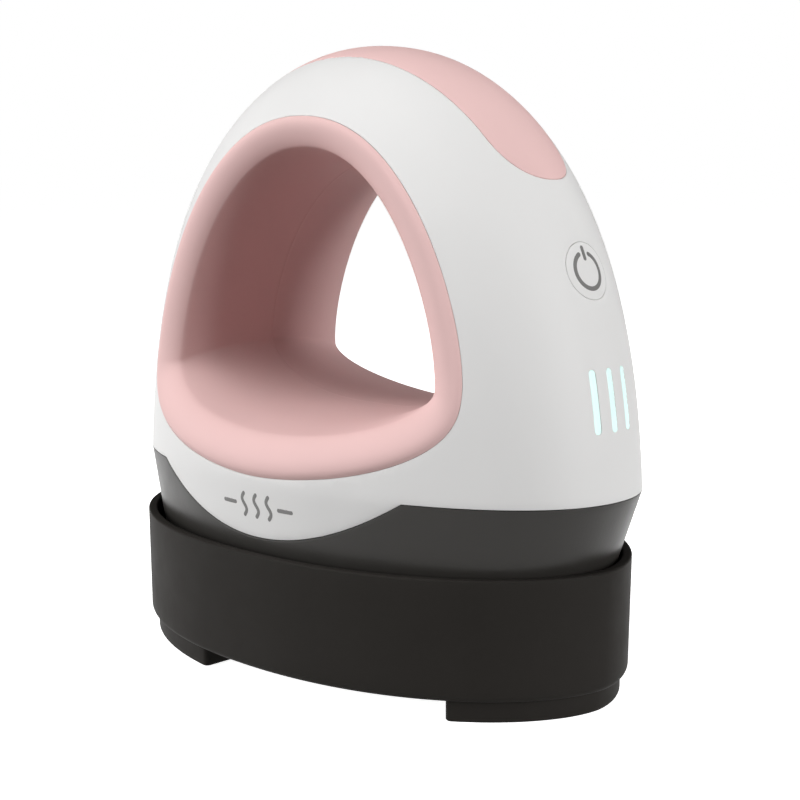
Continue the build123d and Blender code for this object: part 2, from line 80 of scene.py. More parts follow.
# inset and height above its lower end of the rings that round its lower edge
HOUSING_EDGE = ((0.0, 0.5), (0.07, 0.25), (0.25, 0.07), (0.5, 0.0))
HOUSING_UNDERSIDE = (1.6, WALL)              # insets of the rings on its flat underside

# egg outlines seen along Y: half width, height of it, top, bottom, then upper and lower powers
RIM_EGG = (44.77, 62.55, 113.63, 42.34, 2.18, 1.57, 1.73, 2.82)
EDGE_EGG = (37.54, 61.6, 107.55, 50.54, 2.09, 1.61, 1.96, 1.74)
WAIST_EGG = (34.0, 65.0, 105.0, 53.2, 1.9, 1.7, 2.7, 1.5)
EDGE_DEPTH = 4.42                            # inner edge of the rim lies this far behind the surface
LINER_WALL = 2.3
TUNNEL_Z = 72.0                              # a height in the middle of the hand tunnel

CRISP_FROM, CRISP_TO = 54.0, 66.0            # the lip's inner edge is soft below, crisp above
CRISPNESS = 0.7                              # how far the crisp edge turns towards the lip's slant
# the lip's curve, in its soft part and in its crisp part
LIP_RISE = (1.8, 0.95)                       # pull outward at the rim
LIP_RUN = (0.24, 0.38)                       # pull along the surface at the rim, as a share of its width
LIP_REACH = (0.33, 0.38)                     # pull back from the inner edge, as a share of its width
# distance from the middle, and height there, of the fine ridge where the two liner halves meet
LINER_RIDGE = ((0.22, 0.0), (0.10, 0.03), (0.02, 0.035))

COVER_X, COVER_Y, COVER_END = 46.6, 11.7, 10.1   # half length, half width, radius of the ends
COVER_POWER = 2.2                            # power of its round ends
COVER_WALL = 1.35

BUTTON_AT = np.array((54.9, 0.0, 83.9))
BUTTON_OUT = np.array((0.9411, 0.0, 0.3381))
BUTTON_UP = np.array((-0.3381, 0.0, 0.9411))
BUTTON_SIDE = np.array((0.0, 1.0, 0.0))
BUTTON_R, BUTTON_GAP = 5.7, 0.07
BUTTON_HOLD, BUTTON_TURN = 1.0, 6.0          # the wall follows the axis this far, then turns away
MARK_R, MARK_STROKE = 3.55, 0.9
MARK_TICK = (2.4, 4.55)                      # middle line of the symbol's upright
MARK_GAP = math.radians(24)                  # half of the opening in the symbol's ring
# thickness, rounding and height of a printed mark
PRINT_WALL, PRINT_EDGE, PRINT_PROUD = 0.2, 0.04, 0.03

WAVES_X, WAVES_Z, WAVE_SWAY = (-3.1, 0.5, 4.1), (34.1, 38.5), 0.6
DASHES_X, DASH_LENGTH, DASH_Z = (-9.3, 6.9), 3.4, 36.3
SIDE_STROKE = 0.84

LIGHT_Y = 4.68                               # spacing of the three light bars
LIGHT_HALF, LIGHT_GAP = 0.75, 0.06           # half width of a bar, and the gap to its slot
GUIDE_MARGIN = 1.5                           # the light guide is this much taller at each end
LIGHT_LOW = cad_box("light_guide")[0][2] + GUIDE_MARGIN
LIGHT_HIGH = cad_box("light_guide")[1][2] - GUIDE_MARGIN

GLAND_Z, GLAND_HOLE = 84.0, 4.35

TRAY_LOW, TRAY_HIGH = cad_box("base_tray")
TRAY_MIDDLE = (TRAY_LOW[0] + TRAY_HIGH[0]) / 2
TRAY_X, TRAY_Y = TRAY_HIGH[0] - TRAY_MIDDLE, TRAY_HIGH[1]
TRAY_POWERS = (2.14, 1.776)
TRAY_WALL, TRAY_FLOOR, TRAY_DRAFT = 2.0, 1.8, 0.5
TRAY_RIM_EDGE, TRAY_LOWER_EDGE, TRAY_FLOOR_EDGE = 0.45, 1.3, 1.0
FOOT_INSET, FOOT_CORNER, FOOT_EDGE = 2.1, 1.1, 0.5
FOOT_RINGS = (3.0, 1.5)                      # heights of the rings on its side

# ---- Fineness of the meshes ----------------------------------------------------------------------
RING_POINTS = 360                            # round the housing and the tray
LINER_POINTS = 320                           # round the hand tunnel
LIP_ROWS, TUNNEL_ROWS = 20, 25               # over the lip, and from its inner edge to the middle
SHELL_SPACING, PLANE_SPACING, COVER_SPACING = 1.35, 1.3, 1.2
FILL_CLEARANCE = 0.62                        # share of the spacing kept free round the outlines
ROW_SHARE = 0.87                             # distance of staggered rows, as a share of the spacing
HALVINGS = 48                                # steps of a search by halving
SETTLE_ROUNDS = 40                           # rounds until a ring on the parting line settles
ON_PLANE = 1e-4                              # closer to the XZ plane than this counts as on it
TINY = 1e-6
OFF_CORNER = 1e-4                            # turn that keeps points off an outline's exact corners
LEAST_WALL = 0.2                             # least thickness below a rounded edge
TESTED_AT_ONCE = 4000                        # places tested against the borders in one go

# ---- Light and camera, in metres -----------------------------------------------------------------
AMBIENT = 0.045                              # light from all round; the backdrop itself stays white
FLOOR_TONES = (0.93, 0.95)
LIGHT_TARGET = (0, 0, 0.06)
# name, place, size and power
AREA_LIGHTS = (
    ("left_box", (-0.50, -0.74, 0.22), (1.1, 0.9), 11.3),
    ("right_box", (0.91, 0.07, 0.16), (0.45, 0.9), 9.8),
    ("top_box", (-0.10, -0.34, 0.88), (0.7, 0.7), 4.0),
    ("back_box", (0.10, 0.72, 0.90), (0.6, 0.6), 1.2),
)
CAMERA_AZIMUTH, CAMERA_HEIGHT = math.radians(44.21), math.radians(5.39)
CAMERA_TARGET, CAMERA_DISTANCE = (0, 0, 0.070), 0.3229
CAMERA_SENSOR, CAMERA_LENS, CAMERA_SHIFT = 36.0, 68.02, (0.02695, -0.0936)


# ---- The body's outer surface --------------------------------------------------------------------
def half_sizes(z):
    """Half length and half width of the level section at each height."""
    z = np.asarray(z, float)
    share = np.clip((z - DOME_BASE) / (TOP - DOME_BASE), 0, 1)
    half_x = HALF_X * (1 - share ** RISE[0]) ** (1 / RISE[1])
    half_y = HALF_Y * (1 - share ** RISE[2]) ** (1 / RISE[3])
    low_x = np.interp(z, HOUSING[:, 0], HOUSING[:, 1])
    low_y = np.interp(z, HOUSING[:, 0], HOUSING[:, 2])
    return np.where(z < SPLIT, low_x, half_x), np.where(z < SPLIT, low_y, half_y)


def middle_x(z):
    """Middle of the level section at each height."""
    return np.interp(z, HOUSING[:, 0], HOUSING[:, 3])


def oval(turn, half_x, half_y, powers):
    """x and y on a rounded oval round 0, from turning angle, half sizes and the two powers."""
    c, s = np.cos(turn), np.sin(turn)
    return (half_x * np.sign(c) * np.abs(c) ** (2 / powers[0]),
            half_y * np.sign(s) * np.abs(s) ** (2 / powers[1]))


def on_ring(turn, z, inset=0.0):
    """Surface points from turning angle and height, or points that lie level inside it by an inset."""
    a, b = half_sizes(z)
    x, y = oval(turn, a - inset, b - inset, (POWER_X, POWER_Y))
    return np.stack([middle_x(z) + x, y, np.broadcast_to(z, x.shape)], -1)


def inside_value(points):
    """Below 1 inside the body, 1 on its surface."""
    a, b = np.maximum(half_sizes(points[..., 2]), TINY)
    along = points[..., 0] - middle_x(points[..., 2])
    return np.abs(along / a) ** POWER_X + np.abs(points[..., 1] / b) ** POWER_Y


def unit(vectors):
    return vectors / np.linalg.norm(vectors, axis=-1, keepdims=True)


def outward(points):
    """Unit normals of the surface, from central differences."""
    step = 0.02
    slope = []
    for axis in range(3):
        shift = np.zeros(3)
        shift[axis] = step
        slope.append(inside_value(points + shift) - inside_value(points - shift))
    slope = np.stack(slope, -1)
    return unit(slope)


def slide_to_surface(start, direction, low=-12.0, high=12.0):
    """Moves points along a direction until they meet the surface, from inside to outside."""
    low = np.full(len(start), low)
    high = np.full(len(start), high)
    for _ in range(HALVINGS):
        middle = (low + high) / 2
        inside = inside_value(start + middle[:, None] * direction) < 1
        low = np.where(inside, middle, low)
        high = np.where(inside, high, middle)
    return start + ((low + high) / 2)[:, None] * direction


def x_surface(y, z):
    """How far the surface reaches towards the nose at a place seen along X."""
    a, b = half_sizes(z)
    return middle_x(z) + a * np.clip(1 - np.abs(y / b) ** POWER_Y, 0, 1) ** (1 / POWER_X)


def y_surface(x, z):
    """How far the surface reaches sideways at a place seen along Y."""
    a, b = half_sizes(z)
    return b * np.clip(1 - np.abs((x - middle_x(z)) / a) ** POWER_X, 0, 1) ** (1 / POWER_Y)


def z_surface(x, y):
    """Height of the dome over a place in plan."""
    start = np.stack([x, y, np.zeros_like(x)], -1)
    return slide_to_surface(start, np.array((0.0, 0.0, 1.0)), SPLIT, TOP)[:, 2]


def split_height(x):
    """Parting line between the white and the dark moulding: level, with an apron on the long sides."""
    return SPLIT - APRON_DROP * np.clip(1 - (x / APRON_HALF) ** 2, 0, 1)


# ---- Making meshes -------------------------------------------------------------------------------
def make_object(name, verts, faces, body, material, sharp=40.0):
    mesh = bpy.data.meshes.new(name)
    mesh.from_pydata((np.asarray(verts) * MM).tolist(), [], faces)
    mesh.validate()
    mesh.update()
    obj = bpy.data.objects.new(name, mesh)
    bpy.context.scene.collection.objects.link(obj)
    mesh.polygons.foreach_set("use_smooth", [True] * len(mesh.polygons))
    mesh.set_sharp_from_angle(angle=math.radians(sharp))
    mesh.materials.append(material)
    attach(obj, body)
    return obj


def grid_faces(rows, columns, wrap_rows=False, wrap_columns=True, flip=False):
    """Quads over a grid of points stored row by row."""
    faces = []
    for i in range(rows if wrap_rows else rows - 1):
        for j in range(columns if wrap_columns else columns - 1):
            a, b = i * columns + j, i * columns + (j + 1) % columns
            c, d = ((i + 1) % rows) * columns + (j + 1) % columns, ((i + 1) % rows) * columns + j
            faces.append((a, d, c, b) if flip else (a, b, c, d))
    return faces


def mirrored(verts, faces):
    """The piece and its mirror image across the XZ plane, joined where they meet."""
    flip = np.array(verts) * (1, -1, 1)
    on_plane = np.abs(flip[:, 1]) < ON_PLANE
    index = np.where(on_plane, np.arange(len(verts)), -1)
    extra = np.flatnonzero(~on_plane)
    index[extra] = len(verts) + np.arange(len(extra))
    both = np.concatenate([verts, flip[extra]])
    return both, list(faces) + [tuple(int(index[v]) for v in reversed(face)) for face in faces]


def round_edge(radius, steps=3):
    """(distance in from the edge, drop below the surface) down a rounded edge, from the edge inward."""
    turns = [math.pi / 2 * k / steps for k in range(steps + 1)]
    return [(radius * (1 - math.cos(a)), radius * (1 - math.sin(a))) for a in turns]


class Flat:
    """Points and borders of a surface patch, laid out in its own flat coordinates."""

    def __init__(self):
        self.points = []
        self.drops = []
        self.edges = []

    def add(self, points, drop):
        first = len(self.points)
        self.points.extend(map(tuple, points))
        self.drops.extend(np.broadcast_to(drop, len(points)).tolist())
        return list(range(first, len(self.points)))

    def border(self, ids):
        self.edges.extend(zip(ids, ids[1:] + ids[:1]))
    def fill(self, spacing):
        """Even staggered points that stay clear of those already there."""
        known = np.array(self.points)
        low, high = known.min(0), known.max(0)
        rows = np.arange(low[1], high[1], spacing * ROW_SHARE)
        found = []
        for k, v in enumerate(rows):
            u = np.arange(low[0] + (k % 2) * spacing / 2, high[0], spacing)
            row = np.stack([u, np.full_like(u, v)], -1)
            near = known[np.abs(known[:, 1] - v) < spacing]
            if len(near):
                gap = np.min(np.linalg.norm(row[:, None] - near[None], axis=-1), axis=1)
                row = row[gap > FILL_CLEARANCE * spacing]
            found.append(row)
        self.add(np.concatenate(found), 0.0)

    def inside(self, places):
        """Which places lie inside the borders: an odd number of border crossings to one side."""
        ends = np.array(self.points)[np.array(self.edges)]
        (ax, ay), (bx, by) = ends[:, 0].T, ends[:, 1].T
        odd = np.zeros(len(places), bool)
        for first in range(0, len(places), TESTED_AT_ONCE):
            part = slice(first, first + TESTED_AT_ONCE)
            x, y = places[part, 0, None], places[part, 1, None]
            spans = (ay > y) != (by > y)
            cross = ax + (y - ay) * (bx - ax) / np.where(by == ay, 1, by - ay)
            odd[part] = np.sum(spans & (cross > x), axis=1) % 2 == 1
        return odd

    def triangles(self):
        """Flat points, drops and triangles inside the borders."""
        result = delaunay_2d_cdt([Vector(p) for p in self.points], self.edges, [], 0, 1e-5)
        points = np.array([tuple(p) for p in result[0]])
        drops = np.array([self.drops[origin[0]] if origin else 0.0 for origin in result[3]])
        faces = np.array([tuple(face) for face in result[2]])
        faces = faces[self.inside(points[faces].mean(axis=1))]
        used, faces = np.unique(faces, return_inverse=True)
        return points[used], drops[used], [tuple(map(int, face)) for face in faces.reshape(-1, 3)]


def skin(flat, lift, wall, open_plane=False):
    """Closed solid: the lifted patch, the same patch one wall further in, and the sides between."""
    points, drops, faces = flat.triangles()
    surface, normals = lift(points)
    a, b, c = (surface[[face[k] for face in faces]] for k in range(3))
    up = np.einsum("ij,ij->i", np.cross(b - a, c - a), normals[[face[0] for face in faces]])
    faces = [face if up[k] > 0 else face[::-1] for k, face in enumerate(faces)]
    outer = surface - normals * drops[:, None]
    inner = surface - normals * np.maximum(wall, drops + LEAST_WALL)[:, None]
    if open_plane:
        on_plane = np.abs(surface[:, 1]) < ON_PLANE
        outer[on_plane, 1] = 0
        inner[on_plane, 1] = 0
    count = len(outer)
    sides = {}
    for face in faces:
        for k in range(3):
            edge = (face[k], face[(k + 1) % 3])
            if (edge[1], edge[0]) in sides:
                del sides[(edge[1], edge[0])]
            else:
                sides[edge] = True
    result = list(faces) + [tuple(v + count for v in reversed(face)) for face in faces]
    for p, q in sides:
        if open_plane and on_plane[p] and on_plane[q]:
            continue
        result.append((q, p, p + count, q + count))
    return np.concatenate([outer, inner]), result


# ---- Materials -----------------------------------------------------------------------------------
def node_material(name):
    material = bpy.data.materials.new(name)
    material.use_nodes = True
    tree = material.node_tree
    shader = tree.nodes["Principled BSDF"]
    place = tree.nodes.new("ShaderNodeTexCoord")
    return material, tree, shader, place


def noise(tree, place, scale, detail=3.0, stretch=None):
    """Noise value in the part's own coordinates; scale is in features per metre."""
    texture = tree.nodes.new("ShaderNodeTexNoise")
    texture.inputs["Scale"].default_value = scale
    texture.inputs["Detail"].default_value = detail
    source = place.outputs["Object"]
    if stretch:
        mapping = tree.nodes.new("ShaderNodeMapping")
        mapping.inputs["Scale"].default_value = stretch
        tree.links.new(source, mapping.inputs["Vector"])
        source = mapping.outputs["Vector"]
    tree.links.new(source, texture.inputs["Vector"])
    return texture.outputs["Fac"]
def spread(tree, value, low, high):
    """Maps a noise value to a range; most noise lies between 0.3 and 0.7."""
    remap = tree.nodes.new("ShaderNodeMapRange")
    remap.inputs["From Min"].default_value = 0.3
    remap.inputs["From Max"].default_value = 0.7
    remap.inputs["To Min"].default_value = low
    remap.inputs["To Max"].default_value = high
    tree.links.new(value, remap.inputs["Value"])
    return remap.outputs["Result"]


def blend_colors(tree, factor, first, second):
    mix = tree.nodes.new("ShaderNodeMix")
    mix.data_type = "RGBA"
    mix.inputs[6].default_value = (*first, 1)
    mix.inputs[7].default_value = (*second, 1)
    tree.links.new(factor, mix.inputs[0])
    return mix.outputs[2]
def add_bump(tree, shader, value, distance):
    bump = tree.nodes.new("ShaderNodeBump")
    bump.inputs["Strength"].default_value = 1.0
    bump.inputs["Distance"].default_value = distance
    tree.links.new(value, bump.inputs["Height"])
    tree.links.new(bump.outputs["Normal"], shader.inputs["Normal"])
def moulded(name, color, roughness, grain=0.5, depth=0.004, tint=0.03, coat=0.0, specular=0.5):
    """Moulded plastic or rubber: fine grain, cloudy roughness and a slight drift of colour."""
    material, tree, shader, place = node_material(name)
    cloud = spread(tree, noise(tree, place, 45, 2), 0.0, 1.0)
    darker = tuple(c * (1 - tint) for c in color)
    lighter = tuple(min(1.0, c * (1 + tint)) for c in color)
    tree.links.new(blend_colors(tree, cloud, darker, lighter), shader.inputs["Base Color"])
    fine = noise(tree, place, 1000 / grain, 2)
    rough = spread(tree, noise(tree, place, 180, 3), roughness - 0.03, roughness + 0.03)
    tree.links.new(rough, shader.inputs["Roughness"])
    add_bump(tree, shader, fine, depth * MM)
    shader.inputs["Coat Weight"].default_value = coat
    shader.inputs["Coat Roughness"].default_value = 0.2
    shader.inputs["Specular IOR Level"].default_value = specular
    return material


def metal(name, color, roughness, brushed=(1, 1, 1)):
    """Metal with brushed streaks along one direction."""
    material, tree, shader, place = node_material(name)
    streaks = noise(tree, place, 900, 4, brushed)
    darker = tuple(c * 0.88 for c in color)
    tree.links.new(blend_colors(tree, streaks, darker, color), shader.inputs["Base Color"])
    tree.links.new(spread(tree, streaks, roughness - 0.08, roughness + 0.08), shader.inputs["Roughness"])
    shader.inputs["Metallic"].default_value = 1.0
    add_bump(tree, shader, streaks, 0.01 * MM)
    return material


def flecked(name, base, fleck, roughness, size, depth=0.05):
    """Two-colour stock such as felt, mica board or a circuit board."""
    material, tree, shader, place = node_material(name)
    grains = noise(tree, place, 1000 / size, 5)
    tone = blend_colors(tree, spread(tree, grains, 0, 1), base, fleck)
    tree.links.new(tone, shader.inputs["Base Color"])
    shader.inputs["Roughness"].default_value = roughness
    add_bump(tree, shader, grains, depth * MM)
    return material


def glowing(name, color, strength):
    """Lit diffuser, slightly clouded."""
    material, tree, shader, place = node_material(name)
    cloud = spread(tree, noise(tree, place, 260, 2), 0.93, 1.0)
    scaled = tree.nodes.new("ShaderNodeMath")
    scaled.operation = "MULTIPLY"
    scaled.inputs[1].default_value = strength
    tree.links.new(cloud, scaled.inputs[0])
    tree.links.new(scaled.outputs[0], shader.inputs["Emission Strength"])
    shader.inputs["Base Color"].default_value = (*(0.25 * c for c in color), 1)
    shader.inputs["Emission Color"].default_value = (*color, 1)
    shader.inputs["Roughness"].default_value = 0.35
    return material


MATERIALS = {
    "shell": moulded("shell_satin_white", (0.73, 0.725, 0.719), 0.48, 0.35, 0.0025, 0.008, specular=0.2),
    "liner": moulded("liner_soft_pink", (0.755, 0.515, 0.502), 0.5, 0.35, 0.003, 0.012, specular=0.05),
    "housing": moulded("housing_charcoal", (0.030, 0.028, 0.0255), 0.36, 0.5, 0.012, 0.05, specular=0.2),
    "tray": moulded("tray_charcoal", (0.0215, 0.0195, 0.0175), 0.6, 0.6, 0.015, 0.06, specular=0.05),
    "mark": moulded("mark_grey", (0.185, 0.182, 0.178), 0.5, 0.4, 0.002, 0.03, specular=0.2),
    "light_guide": glowing("light_guide_lit", (0.77, 0.985, 0.965), 0.80),
    "black_part": moulded("inner_black", (0.018, 0.018, 0.018), 0.5),
    "gland_rubber": moulded("gland_rubber", (0.025, 0.025, 0.025), 0.62, 0.8, 0.02, 0.08),
    "silicone": moulded("silicone_red", (0.35, 0.075, 0.05), 0.55, 0.8, 0.01, 0.05),
    "ceramic": moulded("glazed_ceramic", (0.78, 0.77, 0.73), 0.2, 1.5, 0.003, 0.03, coat=0.5),
    "yellow_wrap": moulded("yellow_wrap", (0.70, 0.48, 0.05), 0.3, 2.5, 0.01, 0.05),
    "capacitor_sleeve": moulded("capacitor_sleeve", (0.015, 0.025, 0.07), 0.3, 1.0, 0.003, 0.05),
    "terminal_plastic": moulded("terminal_green", (0.03, 0.21, 0.10), 0.4, 0.8, 0.006, 0.05),
    "lead_sleeve": moulded("woven_sleeve", (0.60, 0.58, 0.54), 0.7, 0.5, 0.06, 0.12),
    "plate": moulded("non_stick_plate", (0.045, 0.045, 0.048), 0.36, 0.3, 0.008, 0.06),
    "steel": metal("zinc_steel", (0.62, 0.62, 0.63), 0.34, (1, 12, 1)),
    "mica": flecked("mica_board", (0.50, 0.42, 0.30), (0.62, 0.56, 0.44), 0.6, 1.2),
    "wool": flecked("ceramic_felt", (0.72, 0.71, 0.67), (0.84, 0.83, 0.80), 0.9, 0.7, 0.2),
    "board": flecked("circuit_board", (0.02, 0.15, 0.06), (0.03, 0.21, 0.09), 0.35, 1.6, 0.01),
}


# ---- Body shell ----------------------------------------------------------------------------------
TURN_SCALE, CLIMB_SCALE = 55.0, 90.0         # make flat distances about as long as those on the surface


def to_flat(points):
    """Near-side surface points as flat coordinates: round the body, then up it."""
    a, b = np.maximum(half_sizes(points[:, 2]), TINY)
    across = -np.abs(points[:, 1] / b) ** (POWER_Y / 2)
    x = points[:, 0] - middle_x(points[:, 2])
    along = np.sign(x) * np.abs(x / a) ** (POWER_X / 2)
    share = (points[:, 2] - SPLIT) / (TOP - SPLIT)
    climb = np.where(share > 0, np.arcsin(np.clip(share, 0, 1)), share)
    return np.stack([np.arctan2(across, along) * TURN_SCALE, climb * CLIMB_SCALE], -1)


def from_flat(flat):
    """Surface points and outward normals from those flat coordinates."""
    turn, climb = flat[:, 0] / TURN_SCALE, flat[:, 1] / CLIMB_SCALE
    z = SPLIT + (TOP - SPLIT) * np.where(climb > 0, np.sin(climb), climb)
    points = on_ring(turn, z)
    return points, outward(points)


def egg(outline, grow, turns):
    """Points (x, z) of an egg outline, grown outward by a distance."""
    half, z_wide, top, bottom, up_x, up_z, low_x, low_z = outline
    upper = np.sin(turns) >= 0
    height = np.where(upper, top + grow - z_wide, z_wide - bottom + grow)
    powers = np.where(upper, up_x, low_x), np.where(upper, up_z, low_z)
    x, climb = oval(turns, half + grow, height, powers)
    return x, z_wide + climb


def evenly(points, count, closed=False):
    """The same line with evenly spaced points."""
    if closed:
        points = np.concatenate([points, points[:1]])
    run = np.concatenate([[0], np.cumsum(np.linalg.norm(np.diff(points, axis=0), axis=1))])
    at = np.linspace(0, run[-1], count + 1 if closed else count)
    result = np.stack([np.interp(at, run, points[:, k]) for k in range(points.shape[1])], -1)
    return result[:-1] if closed else result


def bottom_line(grow):
    """Parting line on the near side from the nose to the rear, moved up by a distance."""
    turn = np.linspace(0, -math.pi, 1500)
    z = np.full(turn.shape, SPLIT)
    for _ in range(SETTLE_ROUNDS):
        z = split_height(on_ring(turn, z)[:, 0]) + grow
    return evenly(on_ring(turn, z), 150)


def cover_line(grow):
    """Near half of the top insert's outline, from the rear tip to the nose tip."""
    x_end = COVER_X - COVER_END
    radius = COVER_END + grow
    turn = np.linspace(math.pi, math.pi / 2, 160)
    rear_x = -x_end - radius * np.abs(np.cos(turn)) ** (2 / COVER_POWER)
    rear_y = -radius * np.sin(turn) ** (2 / COVER_POWER)
    side_x = np.linspace(-x_end, x_end, 400)[1:-1]
    side_y = -(radius + (COVER_Y - COVER_END) * (1 - (side_x / x_end) ** 2))
    x = np.concatenate([rear_x, side_x, -rear_x[::-1]])
    y = np.concatenate([rear_y, side_y, rear_y[::-1]])
    y[0] = y[-1] = 0.0
    points = evenly(np.stack([x, y, z_surface(x, y)], -1), 110)
    points[:, 2] = z_surface(points[:, 0], points[:, 1])
    return points


def button_line(radius, turns):
    """Circle round the button's axis, laid on the surface; turn 0 is its top, then towards -Y."""
    along_up, along_side = radius * np.cos(turns)[:, None], radius * np.sin(turns)[:, None]
    return slide_to_surface(BUTTON_AT + (along_up * BUTTON_UP - along_side * BUTTON_SIDE), BUTTON_OUT)


def on_nose(y, z, side=1):
    """Surface points at the nose, or at the rear with side -1, from where they are seen along X."""
    return np.stack([side * x_surface(y, z), y, z], -1)


def gland_line(grow):
    """Near half of the cord hole's outline at the rear, from its bottom to its top."""
    turn = np.linspace(0, math.pi, 26)
    radius = GLAND_HOLE + grow
    return on_nose(-radius * np.sin(turn), GLAND_Z - radius * np.cos(turn), side=-1)


def slot_outline(y_middle, half, full=True):
    """Points (y, z) of a light bar's outline from its top down the -Y side; a full one comes back."""
    arc = np.linspace(0, math.pi / 2, 6)
    grow = half - LIGHT_HALF
    z_high, z_low = LIGHT_HIGH + grow - half, LIGHT_LOW - grow + half
    straight = np.linspace(z_high, z_low, 12)[1:-1]
    y = np.concatenate([-half * np.sin(arc), np.full(len(straight), -half), -half * np.cos(arc)])
    z = np.concatenate([z_high + half * np.cos(arc), straight, z_low - half * np.sin(arc)])
    if full:
        y, z = np.concatenate([y, -y[-2:0:-1]]), np.concatenate([z, z[-2:0:-1]])
    return y + y_middle, z


def rim_line(grow, count):
    """Liner's outer outline on the near side of the body."""
    x, z = egg(RIM_EGG, grow, np.linspace(0, 2 * math.pi, 1600, endpoint=False))
    x, z = evenly(np.stack([x, z], -1), count, closed=True).T
    return np.stack([x, -y_surface(x, z), z], -1)
def lift_shell(flat):
    """Surface points and normals; near the button they turn to its axis: its hole has straight sides."""
    points, normals = from_flat(flat)
    offset = points - BUTTON_AT
    across = offset - np.sum(offset * BUTTON_OUT, 1, keepdims=True) * BUTTON_OUT
    away = np.linalg.norm(across, axis=1, keepdims=True) - BUTTON_R - BUTTON_HOLD
    share = np.where(points[:, :1] > 0, np.clip(1 - away / BUTTON_TURN, 0, 1), 0)
    return points, unit(normals * (1 - share) + BUTTON_OUT * share)


def build_shell():
    """White moulding with its tunnel openings, cover recess, button hole, light slots and cord hole."""
    profile = round_edge(SOFT_EDGE)
    half_turn = np.linspace(0, math.pi, 26)
    slot_half = LIGHT_HALF + LIGHT_GAP
    lines = [
        lambda g: bottom_line(SEAM + g),
        gland_line,
        lambda g: cover_line(SEAM + g),
        lambda g: button_line(BUTTON_R + BUTTON_GAP + g, half_turn),
        lambda g: on_nose(*slot_outline(0.0, slot_half + g, False)),
    ]
    flat = Flat()
    border = []
    rings = [[to_flat(line(g)) for g, _ in profile] for line in lines]
    for own, following in zip(rings, rings[1:] + rings[:1]):
        border += flat.add(own[0], profile[0][1])
        for (_, drop), ring in zip(profile[1:], own[1:]):
            flat.add(ring[1:-1], drop)
        for (_, drop), ring in zip(profile[1:], own[1:]):
            border += flat.add(ring[-1:], drop)
        start, end = own[-1][-1], following[-1][0]
        count = max(2, int(abs(end[1] - start[1]) / PLANE_SPACING))
        border += flat.add(np.linspace(start, end, count + 1)[1:-1], 0.0)
        for (_, drop), ring in list(zip(profile[1:], following[1:]))[::-1]:
            border += flat.add(ring[:1], drop)
    flat.border(border)
    for ring_of in (
        lambda g: rim_line(SEAM + g, 230),
        lambda g: on_nose(*slot_outline(-LIGHT_Y, slot_half + g)),
    ):
        for k, (g, drop) in enumerate(profile):
            ids = flat.add(to_flat(ring_of(g)), drop)
            if k == 0:
                flat.border(ids)
    flat.fill(SHELL_SPACING)
    verts, faces = skin(flat, lift_shell, WALL, open_plane=True)
    verts, faces = mirrored(verts, faces)
    shell = make_object("shell_moulding", verts, faces, "press", MATERIALS["shell"])
    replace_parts(shell, "outer_shell")


def lift_from_above(flat):
    """Surface points and normals over places in plan."""
    x, y = flat[:, 0], flat[:, 1]
    step = 0.15
    slope_x = (z_surface(x + step, y) - z_surface(x - step, y)) / (2 * step)
    slope_y = (z_surface(x, y + step) - z_surface(x, y - step)) / (2 * step)
    normals = np.stack([-slope_x, -slope_y, np.ones_like(x)], -1)
    return np.stack([x, y, z_surface(x, y)], -1), unit(normals)


def build_cover():
    """Pink insert on top, flush with the shell."""
    flat = Flat()
    for k, (g, drop) in enumerate(round_edge(SOFT_EDGE)):
        near = cover_line(-g)[:, :2]
        ids = flat.add(np.concatenate([near, near[-2:0:-1] * (1, -1)]), drop)
        if k == 0:
            flat.border(ids)
    flat.fill(COVER_SPACING)
    verts, faces = skin(flat, lift_from_above, COVER_WALL)
    cover = make_object("top_insert", verts, faces, "press", MATERIALS["liner"])
    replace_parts(cover, "top_cover")


# ---- Liner of the hand tunnel --------------------------------------------------------------------
def liner_rows():
    """Rings of the near half, from the rim's edge over the rolled lip to the seam in the middle."""
    turns = np.linspace(0, 2 * math.pi, LINER_POINTS, endpoint=False) + OFF_CORNER
    def rim(grow):
        x, z = egg(RIM_EGG, grow, turns)
        return np.stack([x, -y_surface(x, z), z], -1)

    edge_x, edge_z = egg(EDGE_EGG, 0, turns)
    edge = np.stack([edge_x, EDGE_DEPTH - y_surface(edge_x, edge_z), edge_z], -1)
    waist_x, waist_z = egg(WAIST_EGG, 0, turns)
    waist = np.stack([waist_x, np.zeros(LINER_POINTS), waist_z], -1)

    rows = []
    for g, drop in round_edge(SOFT_EDGE):
        ring = rim(-g)
        rows.append(ring - outward(ring) * drop)
    start = rows[-1]
    normal = outward(start)
    across = edge - start
    level = across - normal * np.sum(across * normal, 1, keepdims=True)
    into = (waist - edge) * 2
    into[:, 1] = -edge[:, 1]
    into = unit(into)
    crisp = np.clip((edge[:, 2:] - CRISP_FROM) / (CRISP_TO - CRISP_FROM), 0, 1)
    crisp = crisp * crisp * (3 - 2 * crisp)
    leave = unit(into + crisp * CRISPNESS * unit(across))
    def eased(ends):
        """Goes from the soft part's value to the crisp part's."""
        return ends[0] + (ends[1] - ends[0]) * crisp

    first = start + level * eased(LIP_RUN) + normal * eased(LIP_RISE)
    second = edge - leave * eased(LIP_REACH) * np.linalg.norm(across, axis=1, keepdims=True)
    for s in np.linspace(0, 1, LIP_ROWS + 1)[1:]:
        near_rim = (1 - s) ** 3 * start + 3 * s * (1 - s) ** 2 * first
        rows.append(near_rim + 3 * s * s * (1 - s) * second + s ** 3 * edge)
    for s in np.linspace(0, 1, TUNNEL_ROWS + 2)[1:-1]:
        ring = waist + (edge - waist) * (1 - s) ** 2
        ring[:, 1] = edge[:, 1] * (1 - s)
        rows.append(ring)
    for distance, height in LINER_RIDGE:
        ring = waist.copy()
        ring[:, 1] = -distance
        middle = np.array([0, -distance, TUNNEL_Z])
        rows.append(ring - unit(ring - middle) * height)
    return np.array(rows)


